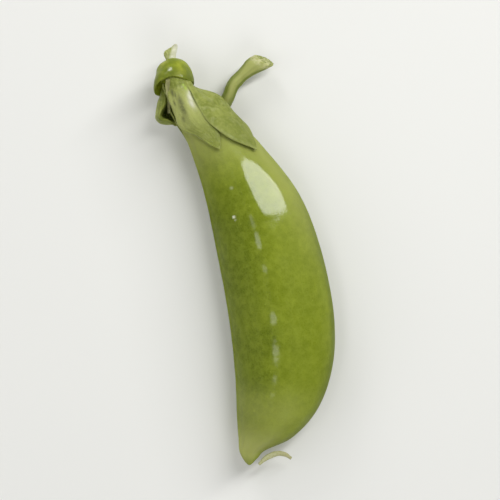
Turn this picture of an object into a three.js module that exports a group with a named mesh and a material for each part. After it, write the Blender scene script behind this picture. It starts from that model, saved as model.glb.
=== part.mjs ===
// A sugar snap pea pod, as picked, lying on its broad side.
// Millimetres, +Z up, +Y towards the stem end, +X towards the bulging (dorsal) edge.
// The hull is one solid. The receptacle, the five sepals, the stalk and the dried
// remains of the flower are separate organs, each a closed solid of its own.

import * as THREE from "three";

// Driving dimensions, in millimetres and degrees.
const POD_FATNESS = 0.78; // thickness over width at the fullest place
const NECK_FATNESS = 0.94; // thickness over width where the pod is narrow
const FULL_WIDTH = 15.6;
const SETTLE = 0.36; // how far the belly is pressed flat where it rests
const ROLL = 3; // the bulging edge lies this much higher than the straight one
const NECK_LIFT = 1.0; // the stem end rises above the middle
const BEAK_DROP = 0.9; // the beak hangs below the middle
const PEA_COUNT = 7;
const PEA_RELIEF = 0.22;
const PEA_ROW_START = 0.14; // shares of the pod's edge between which the peas lie
const PEA_ROW_LENGTH = 0.74;
const PEA_ROW_FADE = 0.08;
const GAP = 0.4; // clearance between the pod and its sepals
const SEPAL_THICKNESS = 0.45;
const SEPAL_REACH = 0.235; // share of the pod's edge that the calyx covers
const TUBE_RADIUS = 1.75; // the calyx where it leaves the receptacle
const STALK_RADIUS = 1.0;
const STALK_END_RADIUS = 1.4;
const STYLE_RADIUS = 0.34;

// Mesh fineness.
const POD_RINGS = 46;
const POD_SIDES = 30;
const SEPAL_ROWS = 14;
const SEPAL_COLUMNS = 8;

const COLOURS = {
  pod: 0x75832c,
  calyx: 0x98a457,
  stalk: 0x86933f,
  papery: 0xc3c597,
  thread: 0xcfcda6,
};

const radians = THREE.MathUtils.degToRad;
const point = (x, y, z = 0) => new THREE.Vector3(x, y, z);
const smooth = (from, to, value) => THREE.MathUtils.smoothstep(value, from, to);

function finish(colour, roughness) {
  return new THREE.MeshStandardMaterial({ color: colour, roughness, metalness: 0 });
}

// ---------------------------------------------------------------- the pod

// The outline of the pod seen from above: a closed curve from the stem end down the
// straight edge to the beak, and back up the bulging edge.
const STEM_END = point(-1.7, 57.1);
const STRAIGHT_EDGE = [
  point(-3.1, 55.4), point(-2.5, 52.2), point(-1.5, 49.2), point(-0.3, 42.0),
  point(0.2, 33.0), point(0.5, 23.5), point(0.1, 13.5), point(-0.8, 5.0), point(-1.0, 2.0),
];
const BEAK = point(0.0, 0.1);
const BULGING_EDGE = [
  point(1.25, 0.85), point(2.3, 1.75), point(6.8, 3.2), point(11.3, 6.8), point(14.5, 12.7),
  point(15.9, 20.5), point(15.3, 31.5), point(13.5, 39.1), point(9.8, 45.9), point(5.6, 51.8),
  point(1.6, 55.7),
];
const OUTLINE_POINTS = [STEM_END, ...STRAIGHT_EDGE, BEAK, ...BULGING_EDGE];
const OUTLINE = new THREE.CatmullRomCurve3(OUTLINE_POINTS, true, "centripetal");
const BEAK_SHARE = (STRAIGHT_EDGE.length + 1) / OUTLINE_POINTS.length;

// One half of the outline, read by arc length from the stem end (0) to the beak (1).
function halfOutline(from, to) {
  const STEPS = 360;
  const places = [];
  const lengths = [0];
  for (let i = 0; i <= STEPS; i += 1) {
    places.push(OUTLINE.getPoint(from + ((to - from) * i) / STEPS));
    if (i > 0) lengths.push(lengths[i - 1] + places[i].distanceTo(places[i - 1]));
  }
  return (share) => {
    const wanted = THREE.MathUtils.clamp(share, 0, 1) * lengths[STEPS];
    let i = 1;
    while (i < STEPS && lengths[i] < wanted) i += 1;
    const part = (wanted - lengths[i - 1]) / (lengths[i] - lengths[i - 1]);
    return places[i - 1].clone().lerp(places[i], part);
  };
}

const straightEdge = halfOutline(0, BEAK_SHARE);
const bulgingEdge = halfOutline(1, BEAK_SHARE);

// The cross-section at a share of the way from stem end to beak: its centre, the half
// width as a vector towards the bulging edge, and the half thickness.
function podSection(share) {
  const straight = straightEdge(share);
  const bulging = bulgingEdge(share);
  const centre = straight.clone().add(bulging).multiplyScalar(0.5);
  const across = bulging.sub(straight).multiplyScalar(0.5);
  const width = 2 * across.length();
  const fullness = Math.min(width / FULL_WIDTH, 1);
  const fatness = THREE.MathUtils.lerp(NECK_FATNESS, POD_FATNESS, smooth(0.2, 0.9, fullness));
  centre.z = (FULL_WIDTH * POD_FATNESS) / 2 - SETTLE;
  centre.z += NECK_LIFT * (1 - smooth(0, 0.4, share));
  centre.z -= BEAK_DROP * smooth(0.6, 1, share);
  across.z = Math.tan(radians(ROLL)) * (width / 2);
  return { centre, across, thick: (width * fatness) / 2 };
}

// How far the seeds push the flank out: one soft swelling each.
function peaRelief(share, angle) {
  const along = (share - PEA_ROW_START) / PEA_ROW_LENGTH;
  const swelling = 0.5 - 0.5 * Math.cos(2 * Math.PI * PEA_COUNT * along);
  const end = PEA_ROW_START + PEA_ROW_LENGTH;
  const rise = smooth(PEA_ROW_START - PEA_ROW_FADE / 4, PEA_ROW_START + PEA_ROW_FADE, share);
  const fall = 1 - smooth(end - PEA_ROW_FADE, end + PEA_ROW_FADE / 4, share);
  const flank = Math.abs(Math.sin(angle)) ** 3;
  return PEA_RELIEF * swelling * rise * fall * flank;
}

function podPoint(share, angle) {
  const { centre, across, thick } = podSection(share);
  const place = centre.clone();
  place.addScaledVector(across, Math.cos(angle));
  place.z += Math.sin(angle) * (thick + (thick > 2 ? peaRelief(share, angle) : 0));
  place.z = Math.max(place.z, 0);
  return place;
}

function buildPod() {
  const body = new THREE.SphereGeometry(1, POD_SIDES, POD_RINGS);
  const { position, uv } = body.attributes;
  for (let i = 0; i < position.count; i += 1) {
    const ring = Math.round((1 - uv.getY(i)) * POD_RINGS) / POD_RINGS;
    const side = Math.round(uv.getX(i) * POD_SIDES) % POD_SIDES;
    const share = (ring + (1 - Math.cos(Math.PI * ring)) / 2) / 2;
    const { x, y, z } = podPoint(share, (-2 * Math.PI * side) / POD_SIDES);
    position.setXYZ(i, x, y, z);
  }
  return new THREE.Mesh(body, finish(COLOURS.pod, 0.42));
}

// --------------------------------------------------------------- the calyx

const RECEPTACLE_CENTRE = point(-2.3, 58.65, 6.4);
const RECEPTACLE_AXIS = point(-0.02, 0.93, -0.36).normalize();
const CALYX_BASE = point(-1.85, 57.8, 6.8);
const BASE_SLOPE = 0.38; // the mouth of the receptacle leans back by this much
const NECK_REACH = 0.1; // part of each sepal that lies before the pod begins

// The surface that the sepals grow along: a short tube from the receptacle which widens
// to clear the pod. The reach runs from the receptacle (0) to the longest tip (1).
function calyxSection(reach) {
  const share = (SEPAL_REACH * Math.max(reach - NECK_REACH, 0)) / (1 - NECK_REACH);
  const { centre, across, thick } = podSection(share);
  const widen = (size) => (size ** 4 + TUBE_RADIUS ** 4) ** 0.25 + GAP;
  const direction = podSection(Math.max(share, 0.02)).across.normalize();
  direction.lerp(point(1, 0, 0), 1 - smooth(0, 0.3, reach));
  return {
    centre: CALYX_BASE.clone().lerp(centre, smooth(0, NECK_REACH, reach)),
    across: direction.setLength(widen(across.length())),
    thick: widen(thick),
  };
}

function calyxPoint(reach, angle, lift) {
  const { centre, across, thick } = calyxSection(reach);
  const outward = across.clone().setLength(Math.cos(angle) / across.length());
  outward.z += Math.sin(angle) / thick;
  outward.normalize();
  const place = centre.clone().addScaledVector(across, Math.cos(angle));
  place.z += thick * Math.sin(angle);
  place.y += BASE_SLOPE * (place.z - centre.z) * (1 - smooth(0, 0.3, reach));
  return place.addScaledVector(outward, lift);
}

// A thin closed blade. place(across, along, lift) gives a point for across -1 to 1,
// along 0 to 1 and lift from 0 on its inner face to the thickness on its outer face.
function bladeGeometry(columns, rows, thickness, place) {
  const body = new THREE.BoxGeometry(2, 1, 1, columns, rows, 1);
  const { position } = body.attributes;
  for (let i = 0; i < position.count; i += 1) {
    const across = position.getX(i);
    const along = position.getY(i) + 0.5;
    const thinning = 1 - 0.45 * Math.abs(across) ** 3;
    const { x, y, z } = place(across, along, (position.getZ(i) + 0.5) * thickness * thinning);
    position.setXYZ(i, x, y, z);
  }
  return body;
}

// A smooth run through evenly spaced values, read at 0 to 1.
function run(values) {
  const curve = new THREE.CatmullRomCurve3(values.map((value) => point(value, 0)));
  return (along) => curve.getPoint(along).x;
}

// Sepals that lie against the pod, each between two edges. An edge's angle goes round the
// pod from the bulging edge (0) over the upper flank (90) to the straight edge (180) and
// the underside (270), and is given from the receptacle to the tip.
const LYING_SEPALS = [
  {
    name: "sepal_right", start: 0, reach: 0.96,
    firstEdge: [-14, -30, -34, -28, 2, 44], secondEdge: [50, 58, 78, 88, 74, 50],
    lift: (across, along) => 0.85 * smooth(0.1, 0.6, across) * smooth(-0.1, 0.25, along)
      + 0.6 * Math.sin(Math.PI * along) ** 2 * (1 - smooth(-0.5, 0.4, across)),
  },
  {
    name: "sepal_middle", start: 0, reach: 0.85,
    firstEdge: [60, 66, 70, 77, 84, 94], secondEdge: [130, 147, 147, 154, 124, 100],
    lift: () => 0,
  },
  {
    name: "sepal_under_left", start: 0.04, reach: 0.8,
    firstEdge: [178, 186, 190, 184, 178, 180], secondEdge: [238, 250, 254, 244, 218, 188],
    lift: () => 0,
  },
  {
    name: "sepal_under_right", start: 0.04, reach: 0.8,
    firstEdge: [256, 268, 272, 267, 271, 291], secondEdge: [332, 320, 316, 318, 312, 298],
    lift: () => 0,
  },
];

function buildLyingSepal({ name, start, reach, firstEdge, secondEdge, lift }) {
  const first = run(firstEdge);
  const second = run(secondEdge);
  const place = (across, along, height) => {
    const angle = THREE.MathUtils.lerp(first(along), second(along), (across + 1) / 2);
    const here = THREE.MathUtils.lerp(start, reach, along);
    return calyxPoint(here, radians(angle), lift(across, along) + height);
  };
  const body = bladeGeometry(SEPAL_COLUMNS, SEPAL_ROWS, SEPAL_THICKNESS, place);
  const sepal = new THREE.Mesh(body, finish(COLOURS.calyx, 0.6));
  sepal.name = name;
  return sepal;
}

// The left sepal stands off the pod and is curled up into an open pocket.
const POCKET_FLOOR = [
  point(-4.7, 56.7, 4.7), point(-4.7, 55.3, 3.9), point(-4.8, 53.7, 3.5), point(-4.55, 52.3, 4.4),
];
const POCKET_HALF_WIDTH = 1.05;
const POCKET_RIM_HEIGHT = 1.9;
const POCKET_COLUMNS = 6;
const POCKET_ROWS = 10;

function buildPocketSepal() {
  const floor = new THREE.CatmullRomCurve3(POCKET_FLOOR);
  const place = (across, along, height) => {
    const middle = floor.getPoint(along);
    const rim = across < 0 ? across ** 2 : 0.2 * across ** 2;
    middle.x += across * POCKET_HALF_WIDTH * (0.55 + 0.45 * Math.sin(Math.PI * along));
    middle.z += POCKET_RIM_HEIGHT * rim - height;
    return middle;
  };
  const body = bladeGeometry(POCKET_COLUMNS, POCKET_ROWS, SEPAL_THICKNESS, place);
  return new THREE.Mesh(body, finish(COLOURS.calyx, 0.6));
}

// The receptacle: a dome whose rim overhangs the bases of the sepals like a hood.
const RECEPTACLE_PROFILE = [
  [0, -0.8], [1.4, -0.7], [1.6, -0.4], [2.7, -0.6], [2.95, -0.2], [2.9, 0.7], [2.4, 1.9],
  [1.4, 2.85], [0, 3.2],
];

function buildReceptacle() {
  const profile = RECEPTACLE_PROFILE.map(([radius, height]) => new THREE.Vector2(radius, height));
  const receptacle = new THREE.Mesh(new THREE.LatheGeometry(profile, 24), finish(COLOURS.calyx, 0.4));
  receptacle.quaternion.setFromUnitVectors(point(0, 1, 0), RECEPTACLE_AXIS);
  receptacle.position.copy(RECEPTACLE_CENTRE);
  return receptacle;
}

// --------------------------------------------------- stalk, style and scraps

// A round stem along a path: an extrusion whose rings are then scaled to the radius.
function stemGeometry(path, steps, sides, radiusAt) {
  const section = new THREE.Shape();
  section.absarc(0, 0, 1, 0, 2 * Math.PI);
  const body = new THREE.ExtrudeGeometry(section, {
    steps, extrudePath: path, curveSegments: sides / 2, bevelEnabled: false,
  });
  const rings = path.getSpacedPoints(steps);
  const { position } = body.attributes;
  const corner = new THREE.Vector3();
  for (let i = 0; i < position.count; i += 1) {
    corner.fromBufferAttribute(position, i);
    const misses = rings.map((ring) => Math.abs(ring.distanceTo(corner) - 1));
    const nearest = misses.indexOf(Math.min(...misses));
    corner.sub(rings[nearest]).multiplyScalar(radiusAt(nearest / steps)).add(rings[nearest]);
    position.setXYZ(i, corner.x, corner.y, corner.z);
  }
  return body;
}

// The stalk leaves the underside of the receptacle, hooks below the calyx and comes out
// beside the right sepal.
const STALK_PATH = [
  point(-2.6, 58.5, 2.15), point(-1.3, 57.0, 1.4), point(0.6, 55.3, 1.3), point(2.9, 54.2, 1.5),
  point(4.9, 54.9, 1.95), point(6.5, 56.8, 2.4), point(8.3, 58.4, 2.9), point(10.0, 59.15, 3.2),
  point(11.6, 59.5, 3.3),
];

function buildStalk() {
  const path = new THREE.CatmullRomCurve3(STALK_PATH);
  const flare = STALK_END_RADIUS - STALK_RADIUS;
  const body = stemGeometry(path, 22, 12, (along) => STALK_RADIUS + flare * smooth(0.7, 0.97, along));
  return new THREE.Mesh(body, finish(COLOURS.stalk, 0.5));
}

// The dried style curls away from the underside of the beak.
const STYLE_PATH = [
  point(1.6, 0.25, 4.6), point(2.75, 1.0, 4.6), point(4.3, 1.25, 4.8), point(5.5, 0.95, 4.9),
  point(6.4, 0.1, 4.7),
];

function buildStyle() {
  const path = new THREE.CatmullRomCurve3(STYLE_PATH);
  const body = stemGeometry(path, 12, 8, (along) => STYLE_RADIUS * (0.75 + 0.35 * along));
  return new THREE.Mesh(body, finish(COLOURS.thread, 0.8));
}

// A torn scrap of bract, standing on the receptacle.
const BRACT_OUTLINE = [
  [-0.7, 0], [0.75, 0], [0.95, 1.2], [0.85, 1.85], [0.55, 1.75], [0.0, 1.3], [-0.75, 1.25], [-1.0, 0.85],
];
const BRACT_THICKNESS = 0.4;
const BRACT_PLACE = point(-2.0, 62.15, 5.4);
const BRACT_TILT = 12;

function buildBract() {
  const outline = new THREE.Shape(BRACT_OUTLINE.map(([x, y]) => new THREE.Vector2(x, y)));
  const body = new THREE.ExtrudeGeometry(outline, { depth: BRACT_THICKNESS, bevelEnabled: false });
  const bract = new THREE.Mesh(body, finish(COLOURS.papery, 0.8));
  bract.position.copy(BRACT_PLACE);
  bract.rotation.x = radians(BRACT_TILT);
  return bract;
}

// The dried sheath of the stamens: a papery strip that hangs in the pocket.
const SHEATH_LINE = [point(-4.5, 56.9, 7.0), point(-4.55, 55.8, 6.3), point(-4.45, 54.6, 5.5)];
const SHEATH_HALF_WIDTH = 0.32;
const SHEATH_THICKNESS = 0.3;

function buildSheath() {
  const line = new THREE.CatmullRomCurve3(SHEATH_LINE);
  const place = (across, along, height) => {
    const middle = line.getPoint(along);
    middle.x -= across * SHEATH_HALF_WIDTH * (1 - 0.5 * along);
    middle.z += height;
    return middle;
  };
  return new THREE.Mesh(bladeGeometry(2, 5, SHEATH_THICKNESS, place), finish(COLOURS.papery, 0.8));
}

// ------------------------------------------------------------ the assembly

function named(mesh, name) {
  mesh.name = name;
  return mesh;
}

// The origin is below the middle of the whole object, on the surface that it lies on.
function centred(parts) {
  const body = new THREE.Group();
  body.add(...parts);
  const middle = new THREE.Box3().setFromObject(body, true).getCenter(new THREE.Vector3());
  body.position.set(-middle.x, -middle.y, 0);
  const whole = new THREE.Group();
  whole.add(body);
  return whole;
}

export default centred([
  named(buildPod(), "pod"),
  named(buildReceptacle(), "receptacle"),
  ...LYING_SEPALS.map(buildLyingSepal),
  named(buildPocketSepal(), "sepal_left"),
  named(buildStalk(), "stalk"),
  named(buildBract(), "torn_bract"),
  named(buildSheath(), "stamen_sheath"),
  named(buildStyle(), "style"),
]);
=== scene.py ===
"""A fresh sugar snap pea pod, built over its measured frame.

Every organ of the pod has an operator of its own. Shapes are worked out in millimetres
from the boxes of the frame's nodes and become metres when their mesh is made.
"""

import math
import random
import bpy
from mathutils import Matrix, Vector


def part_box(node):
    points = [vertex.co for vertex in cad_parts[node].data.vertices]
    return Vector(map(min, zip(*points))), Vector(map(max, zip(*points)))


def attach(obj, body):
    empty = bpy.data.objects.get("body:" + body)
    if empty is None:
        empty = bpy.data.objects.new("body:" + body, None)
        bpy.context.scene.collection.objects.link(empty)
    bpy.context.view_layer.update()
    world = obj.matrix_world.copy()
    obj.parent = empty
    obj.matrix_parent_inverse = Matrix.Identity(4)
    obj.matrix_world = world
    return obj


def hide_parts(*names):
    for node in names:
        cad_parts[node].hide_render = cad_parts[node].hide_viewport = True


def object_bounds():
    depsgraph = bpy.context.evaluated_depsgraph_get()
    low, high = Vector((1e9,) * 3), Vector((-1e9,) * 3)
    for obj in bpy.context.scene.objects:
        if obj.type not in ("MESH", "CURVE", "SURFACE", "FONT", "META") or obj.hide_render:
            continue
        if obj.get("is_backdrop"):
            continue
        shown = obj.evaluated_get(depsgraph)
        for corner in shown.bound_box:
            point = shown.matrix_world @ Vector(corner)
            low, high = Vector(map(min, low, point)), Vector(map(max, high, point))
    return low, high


bl_info = {
    "name": "Sugar Snap Pea",
    "version": (1, 0, 0),
    "blender": (4, 5, 0),
    "location": "View3D > Sidebar > Pea Pod",
    "description": "Builds one fresh sugar snap pea pod over its measured frame",
    "category": "Object",
}

import bmesh
import bpy
import numpy as np
from bpy.props import FloatProperty, FloatVectorProperty, IntProperty, PointerProperty
from bpy.types import Operator, Panel, PropertyGroup
from mathutils import Quaternion, Vector, noise

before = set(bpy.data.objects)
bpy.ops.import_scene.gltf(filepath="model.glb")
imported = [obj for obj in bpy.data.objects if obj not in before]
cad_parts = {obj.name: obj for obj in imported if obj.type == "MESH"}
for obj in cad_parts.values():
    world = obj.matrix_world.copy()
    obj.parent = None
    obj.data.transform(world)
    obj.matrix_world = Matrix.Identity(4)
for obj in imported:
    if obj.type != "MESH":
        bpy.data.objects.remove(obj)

MM = 0.001  # metres in a millimetre
BODY = "root"  # a pod has no joints, so all of it is one body
TURN = 2 * math.pi


# ---------------------------------------- numbers, curves and places


def paint(code):
    """The linear colour of an sRGB hex code."""
    parts = [int(code[i:i + 2], 16) / 255 for i in (0, 2, 4)]
    return tuple(p / 12.92 if p <= 0.04045 else ((p + 0.055) / 1.055) ** 2.4 for p in parts)


def smooth(start, end, value):
    """0 before start, 1 past end, and an S-curve between. With end below start, it falls."""
    t = np.clip((np.asarray(value, float) - start) / (end - start), 0.0, 1.0)
    return t * t * (3.0 - 2.0 * t)


def between(value, start, full, fade, end):
    """1 from full to fade, and 0 before start and past end."""
    return smooth(start, full, value) * smooth(end, fade, value)


def bell(distance):
    """1 at no distance, falling away to 0 from about 2."""
    return np.exp(-np.square(distance))


def off(angle, middle=0.0):
    """How far an angle is from a middle one, to either side."""
    return np.abs(np.angle(np.exp(1j * (angle - middle))))


def unit(vectors):
    """The vectors scaled to length 1, row by row."""
    return vectors / np.maximum(np.linalg.norm(vectors, axis=-1, keepdims=True), 1e-9)


def oval(centre, facing, half, thick, angle):
    """Points round upright ovals, and the directions out of them."""
    points = centre + facing * (half * np.cos(angle))[:, None]
    points[:, 2] += thick * np.sin(angle)
    outward = facing * (np.cos(angle) / half)[:, None]
    outward[:, 2] += np.sin(angle) / thick
    return points, unit(outward)


def columns(*values):
    """Rows of coordinates from three columns, of which some may be plain numbers."""
    return np.column_stack(np.broadcast_arrays(*values))


def rough(points, scale, seed, octaves=1):
    """Soft noise from about -1 to 1 at each point. Scale is the size of its lumps."""
    shift = Vector((seed * 17.3, seed * 5.1, seed * 9.7))
    total = np.zeros(len(points))
    for octave in range(octaves):
        factor = 2.0 ** octave / scale
        total += np.array([noise.noise(Vector(p) * factor + shift) for p in points]) / 1.7 ** octave
    return total


def box_of(node):
    """The lowest corner and the size of a frame node's box, in millimetres."""
    low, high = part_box(node)
    return np.array(low) / MM, np.array(high - low) / MM


def places_in(node, shares):
    """Points given as shares of a frame node's box, in millimetres."""
    low, size = box_of(node)
    return low + np.array(shares, float) * size


def curve_through(points, closed=False, per_span=48):
    """A smooth centripetal curve through the points, sampled finely."""
    points = np.array(points, float)
    before, after = 2 * points[:1] - points[1:2], 2 * points[-1:] - points[-2:-1]
    if closed:
        before, after = points[-1:], points[:2]
    around = np.vstack([before, points, after])
    t = (np.arange(per_span) / per_span)[:, None]
    runs = []
    for i in range(len(around) - 3):
        a, b, c, d = around[i:i + 4]
        ab, bc, cd = (np.sqrt(np.linalg.norm(q - p)) for p, q in ((a, b), (b, c), (c, d)))
        leave = ((b - a) / ab - (c - a) / (ab + bc) + (c - b) / bc) * bc
        arrive = ((c - b) / bc - (d - b) / (bc + cd) + (d - c) / cd) * bc
        cubic = 2 * b - 2 * c + leave + arrive
        square = -3 * b + 3 * c - 2 * leave - arrive
        runs.append(cubic * t ** 3 + square * t ** 2 + leave * t + b)
    return np.vstack(runs + [around[-2:-1]])


class Course:
    """A sampled curve, read by the share of its length."""

    def __init__(self, samples):
        self.samples = samples
        steps = np.linalg.norm(np.diff(samples, axis=0), axis=1)
        self.lengths = np.concatenate([[0.0], np.cumsum(steps)])
        self.length = self.lengths[-1]

    def at(self, share):
        wanted = np.clip(share, 0.0, 1.0) * self.length
        return np.stack([np.interp(wanted, self.lengths, row) for row in self.samples.T], axis=-1)


def course_in(node, shares):
    """A course through places in a frame node's box."""
    return Course(curve_through(places_in(node, shares)))


def run(values):
    """A smooth run through evenly spaced values, read at 0 to 1."""
    curve = curve_through(list(enumerate(values)))
    return lambda share: np.interp(np.asarray(share) * (len(values) - 1), curve[:, 0], curve[:, 1])


# ---------------------------------------- meshes


def add_object(name, data):
    thing = bpy.data.objects.new(name, data)
    bpy.context.scene.collection.objects.link(thing)
    return thing


def make_piece(name, points, faces, material, node, features):
    """A smooth mesh object from points in millimetres, which takes the place of a frame
    node. Features are named numbers at each point, which the materials read."""
    mesh = bpy.data.meshes.new(name)
    mesh.from_pydata((points * MM).tolist(), [], faces)
    work = bmesh.new()
    work.from_mesh(mesh)
    bmesh.ops.recalc_face_normals(work, faces=work.faces)
    work.to_mesh(mesh)
    work.free()
    for key, values in features.items():
        layer = mesh.attributes.new(key, "FLOAT", "POINT")
        layer.data.foreach_set("value", np.asarray(values, np.float32))
    mesh.shade_smooth()
    mesh.materials.append(material)
    piece = add_object(name, mesh)
    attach(piece, BODY)
    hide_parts(node)


def ball_faces(rings, sides):
    """Faces of a closed skin: a first pole, rings of sides, and a last pole."""
    faces = []
    last = 1 + rings * sides
    for k in range(sides):
        after = (k + 1) % sides
        faces.append((0, 1 + k, 1 + after))
        faces.append((last, last - sides + after, last - sides + k))
    for here in range(1, last - sides, sides):
        there = here + sides
        for k in range(sides):
            after = (k + 1) % sides
            faces.append((here + k, there + k, there + after, here + after))
    return faces


def with_poles(values, first=0.0, last=0.0):
    """Values at each pole and each point of the rings of a closed skin."""
    return np.concatenate([[first], values.ravel(), [last]])


def blade_faces(wide, long):
    """Faces of a closed blade: an outer layer of points, then an inner one."""
    grid = np.arange((wide + 1) * (long + 1)).reshape(long + 1, wide + 1)
    layer = grid.size
    faces = []
    for a, b in zip(grid[:-1, :-1].ravel().tolist(), grid[1:, :-1].ravel().tolist()):
        faces.append((a, b, b + 1, a + 1))
        faces.append((layer + a, layer + a + 1, layer + b + 1, layer + b))
    rim = np.concatenate([grid[0], grid[1:, -1], grid[-1, -2::-1], grid[-2:0:-1, 0]]).tolist()
    return faces + [(a, b, layer + b, layer + a) for a, b in zip(rim, rim[1:] + rim[:1])]


def blade_grid(wide, long):
    """Across (-1 to 1) and along (0 to 1) of each point of one layer of a blade."""
    across, along = np.meshgrid(np.linspace(-1, 1, wide + 1), np.linspace(0, 1, long + 1))
    return across.ravel(), along.ravel()


def tube_skin(course, rings, sides, radius_at, cap=()):
    """Points and faces of a round stem, and of each point the share along it, the angle
    round it and how deep in the end face it lies. radius_at(share, angle) gives the radius.
    The cap lists the rings of the end face, each as a share of the last radius and a
    height in millimetres."""
    shares = np.linspace(0, 1, rings)
    middle = course.at(shares)
    forward = unit(np.gradient(middle, axis=0))
    side = [unit(np.cross(forward[0], (0.0, 0.0, 1.0)))]
    for direction in forward:
        side.append(unit(side[-1] - direction * np.dot(side[-1], direction)))
    insets, heights = np.array(cap).reshape(-1, 2).T
    middle = np.vstack([middle, middle[-1] + forward[-1] * heights[:, None]])
    inset = np.concatenate([np.ones(rings), insets])
    extra = ((0, len(cap)), (0, 0))
    side, forward = np.pad(side[1:], extra, "edge"), np.pad(forward, extra, "edge")
    lift = np.cross(forward, side)
    shares = np.pad(shares, (0, len(cap)), "edge")
    angles = np.linspace(0, TURN, sides, endpoint=False)
    share, angle = np.meshgrid(shares, angles, indexing="ij")
    radius = (radius_at(share, angle) * inset[:, None])[..., None]
    ring = side[:, None] * np.cos(angle)[..., None] + lift[:, None] * np.sin(angle)[..., None]
    points = (middle[:, None] + ring * radius).reshape(-1, 3)
    points = np.vstack([middle[:1], points, middle[-1:]])
    core = with_poles(np.repeat(1 - inset, sides), last=1.0)
    faces = ball_faces(len(shares), sides)
    return points, faces, with_poles(share, last=1.0), with_poles(angle), core


# ---------------------------------------- materials


def add_node(tree, kind, output, inputs=None, **settings):
    """The output of a new node. Its inputs are numbers, colours or other nodes' outputs."""
    node = tree.nodes.new("ShaderNode" + kind)
    for key, value in settings.items():
        setattr(node, key, value)
    feed(tree, node, inputs or {})
    return node.outputs[output]


def feed(tree, node, inputs):
    """Link or set a node's inputs. A colour may lack its alpha."""
    for key, value in inputs.items():
        socket = node.inputs[key]
        if isinstance(value, bpy.types.NodeSocket):
            tree.links.new(value, socket)
        elif socket.type == "RGBA":
            socket.default_value = (*value, 1.0)[:4]
        else:
            socket.default_value = value


class Recipe:
    """A material under construction: a Principled shader and what feeds it."""

    def __init__(self, name, specular, roughness=0.5):
        self.material = bpy.data.materials.new(name)
        self.material.use_nodes = True
        self.tree = self.material.node_tree
        self.place = self.node("TexCoord", "Object")
        self.skin({"Roughness": roughness, "Specular IOR Level": specular})

    def node(self, kind, output, inputs=None, **settings):
        return add_node(self.tree, kind, output, inputs, **settings)

    def skin(self, inputs):
        feed(self.tree, self.tree.nodes["Principled BSDF"], inputs)

    def translucent(self, weight, radius_mm, colour):
        """Light that sinks a little way in and comes out tinted."""
        self.skin({"Subsurface Weight": weight, "Subsurface Radius": colour,
                   "Subsurface Scale": radius_mm * MM})

    def waxed(self, weight, roughness):
        """A thin clear wax over the skin."""
        self.skin({"Coat Weight": weight, "Coat Roughness": roughness, "Coat IOR": 2.1})

    def feature(self, name):
        """A number stored at each point of the mesh."""
        return self.node("Attribute", "Fac", attribute_name=name)

    def over(self, size):
        """Where a texture lies: over the piece, with lumps of a size in millimetres, or over
        numbers stored with the piece, each with a scale."""
        if isinstance(size, float):
            return {"Vector": self.place, "Scale": 1 / (size * MM)}
        scaled = [self.math("MULTIPLY", self.feature(name), scale) for name, scale in size.items()]
        return {"Vector": self.node("CombineXYZ", "Vector", dict(enumerate(scaled))), "Scale": 1.0}

    def noise(self, size, detail=2.0):
        return self.node("TexNoise", "Fac", {"Detail": detail, **self.over(size)})

    def patches(self, size, detail, low, high, *out):
        """Noise with the part from low to high spread over 0 to 1, or from out to out."""
        return self.window(self.noise(size, detail), low, high, *out)

    def cells(self, size, feature="F1"):
        """Distance to the nearest seed point, or to the border between two."""
        return self.node("TexVoronoi", "Distance", self.over(size), feature=feature)

    def math(self, kind, first, second):
        return self.node("Math", "Value", {0: first, 1: second}, operation=kind)

    def window(self, value, low, high, out_low=0.0, out_high=1.0):
        """The value read from low to high, smoothly, as out_low to out_high."""
        return self.node(
            "MapRange", "Result", {"Value": value, "From Min": low, "From Max": high,
                                   "To Min": out_low, "To Max": out_high},
            interpolation_type="SMOOTHSTEP")

    def blend(self, factor, first, second):
        """One colour over another, by a factor from 0 to 1."""
        return self.node("Mix", 2, {"Factor": factor, 6: first, 7: second}, data_type="RGBA")

    def colour(self, base, *layers):
        """Colours laid over a base. Each layer has a mask, which may be the name of a
        feature, the strength of that mask, and a colour."""
        for mask, strength, colour in layers:
            mask = self.feature(mask) if isinstance(mask, str) else mask
            if strength != 1:
                mask = self.math("MULTIPLY", mask, strength)
            base = self.blend(mask, base, colour)
        self.skin({"Base Color": base})

    def relief(self, *layers):
        """Bumps, each a height from 0 to 1 with the depth in millimetres that 1 stands for."""
        below = {}
        for height, depth in layers:
            bump = {"Strength": 1.0, "Distance": depth * MM, "Height": height, **below}
            below = {"Normal": self.node("Bump", "Normal", bump)}
        self.skin(below)


# ---------------------------------------- settings


def colour(name, description, code):
    return FloatVectorProperty(
        name=name, description=description, subtype="COLOR", size=3, min=0.0, max=1.0,
        default=paint(code))


def length(name, description, millimetres):
    return FloatProperty(
        name=name, description=description, default=millimetres * MM, unit="LENGTH", precision=5)


class PodSettings(PropertyGroup):
    """Sizes and colours of the hull."""

    rings: IntProperty(
        name="Rings", description="Rings of points along the hull", default=400, min=40, max=440)
    sides: IntProperty(
        name="Sides", description="Points round each ring", default=208, min=24, max=220)
    fatness: FloatProperty(
        name="Fatness", description="Thickness over width where the pod is fullest",
        default=0.78, min=0.4, max=1.0)
    pea_count: IntProperty(
        name="Peas", description="Number of peas that show through the wall", default=8, min=0)
    pea_swelling: length("Pea swelling", "How far each pea pushes the flank out", 0.22)
    ripple: length("Ripple", "Height of the ripples along the crest, over the peas", 0.09)
    flat: length("Flat", "How far the shoulder is pressed flat", 0.185)
    seam_height: length("Seam height", "How far the seams stand out of the edges", 0.16)
    skin_deep: colour("Deep skin", "Deepest green of the hull", "526108")
    skin_mid: colour("Skin", "Middle green of the hull", "717f10")
    skin_light: colour("Light skin", "Green of the hull's light mottling", "9daa3a")
    skin_pale: colour("Pale skin", "Green of the seams and the neck", "a6ab60")


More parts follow.
